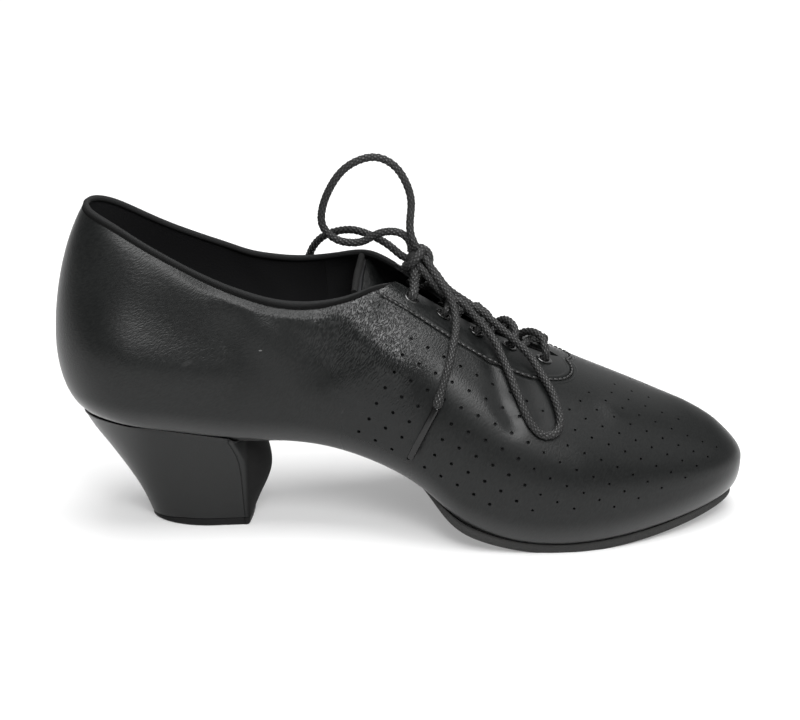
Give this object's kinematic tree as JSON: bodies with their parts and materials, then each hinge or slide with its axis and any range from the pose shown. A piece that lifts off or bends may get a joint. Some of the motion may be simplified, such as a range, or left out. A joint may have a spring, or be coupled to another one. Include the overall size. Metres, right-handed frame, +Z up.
{
  "type": "ballroom practice shoe",
  "caption": "Left lace-up ballroom practice shoe in perforated black leather, with an open collar and throat, a tied round lace, a covered block heel and a thin suede sole.",
  "frame": {"origin": "middle of the footprint on the floor: the centre of the box round the shoe without the bow of its lace, at the sole's ground plane", "axes": "+X toward the toe, +Y toward the outer side of the left foot, +Z up from the floor"},
  "size_m": [0.24, 0.086, 0.1288],
  "materials": {
    "upper_leather": "fine-grained, soft sheen",
    "heel_leather": "smooth, satin",
    "suede_sole": "napped, matt",
    "sock_lining": "matt",
    "heel_rubber": "matt",
    "eyelet_metal": "dark, satin",
    "lace_braid": "waxed round braid",
    "aglet_plastic": "gloss"
  },
  "bodies": {
    "root": {"upper": "upper_leather", "outsole": "suede_sole", "insole": "sock_lining", "heel_block": "heel_leather", "heel_top_piece": "heel_rubber", "tongue": "upper_leather", "eyelet_inner_1": "eyelet_metal", "eyelet_inner_2": "eyelet_metal", "eyelet_inner_3": "eyelet_metal", "eyelet_inner_4": "eyelet_metal", "eyelet_inner_5": "eyelet_metal", "eyelet_outer_1": "eyelet_metal", "eyelet_outer_2": "eyelet_metal", "eyelet_outer_3": "eyelet_metal", "eyelet_outer_4": "eyelet_metal", "eyelet_outer_5": "eyelet_metal", "lace_bar_2": "lace_braid", "lace_bar_3": "lace_braid", "lace_bar_4": "lace_braid", "lace_bar_5": "lace_braid", "lace_riser_inner": "lace_braid", "lace_riser_outer": "lace_braid", "lace_knot": "lace_braid", "lace_loop_standing": "lace_braid", "lace_loop_side": "lace_braid", "lace_end_side": "lace_braid", "lace_end_far": "lace_braid", "aglet_side": "aglet_plastic", "aglet_far": "aglet_plastic"}
  },
  "joints": []
}
